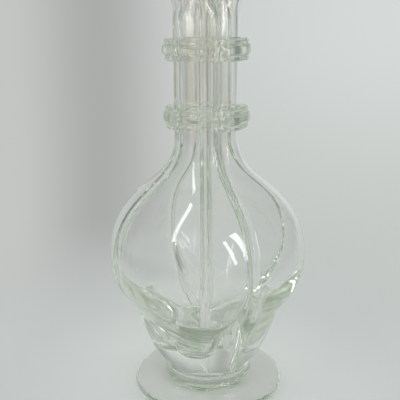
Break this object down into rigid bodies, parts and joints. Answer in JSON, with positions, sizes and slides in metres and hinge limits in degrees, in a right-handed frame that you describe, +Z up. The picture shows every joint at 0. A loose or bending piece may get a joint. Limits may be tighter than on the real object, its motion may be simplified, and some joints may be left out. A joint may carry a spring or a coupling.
{
  "type": "decanter",
  "caption": "Clear glass decanter with a round bulb divided into chambers, a cluster of necks bound by beaded collars, leaning spouts with ball stoppers on corks, and a pad foot.",
  "frame": {"origin": "centre of the foot's underside, on the surface that the decanter stands on", "axes": "+Z up along the decanter's axis; the seams between the chambers lie on the XZ and YZ planes, with one chamber in each quarter between them"},
  "size_m": [0.1288, 0.1288, 0.3158],
  "materials": {
    "blown_glass": "clear blown glass with a faint green tint, fire-polished",
    "thick_glass": "clear glass, thick enough to look slightly green, fire-polished",
    "collar_glass": "clear applied glass, tooled into beads",
    "stopper_glass": "clear solid glass, fire-polished",
    "cork": "natural cork, matte"
  },
  "bodies": {
    "decanter": {"foot": "thick_glass", "stem": "thick_glass", "chamber_back_right": "blown_glass", "chamber_back_left": "blown_glass", "chamber_front_left": "blown_glass", "chamber_front_right": "blown_glass", "lower_collar": "collar_glass", "upper_collar": "collar_glass"},
    "stopper_back_right": {"cork_back_right": "cork", "finial_back_right": "stopper_glass"},
    "stopper_back_left": {"cork_back_left": "cork", "finial_back_left": "stopper_glass"},
    "stopper_front_left": {"cork_front_left": "cork", "finial_front_left": "stopper_glass"},
    "stopper_front_right": {"cork_front_right": "cork", "finial_front_right": "stopper_glass"}
  },
  "joints": [
    {"name": "lift_back_right", "type": "slide", "parent": "decanter", "child": "stopper_back_right", "axis": [0.1239, 0.1239, 0.9845], "range_m": [0, 0.07]},
    {"name": "lift_back_left", "type": "slide", "parent": "decanter", "child": "stopper_back_left", "axis": [-0.1239, 0.1239, 0.9845], "range_m": [0, 0.07]},
    {"name": "lift_front_left", "type": "slide", "parent": "decanter", "child": "stopper_front_left", "axis": [-0.1239, -0.1239, 0.9845], "range_m": [0, 0.07]},
    {"name": "lift_front_right", "type": "slide", "parent": "decanter", "child": "stopper_front_right", "axis": [0.1239, -0.1239, 0.9845], "range_m": [0, 0.07]}
  ]
}
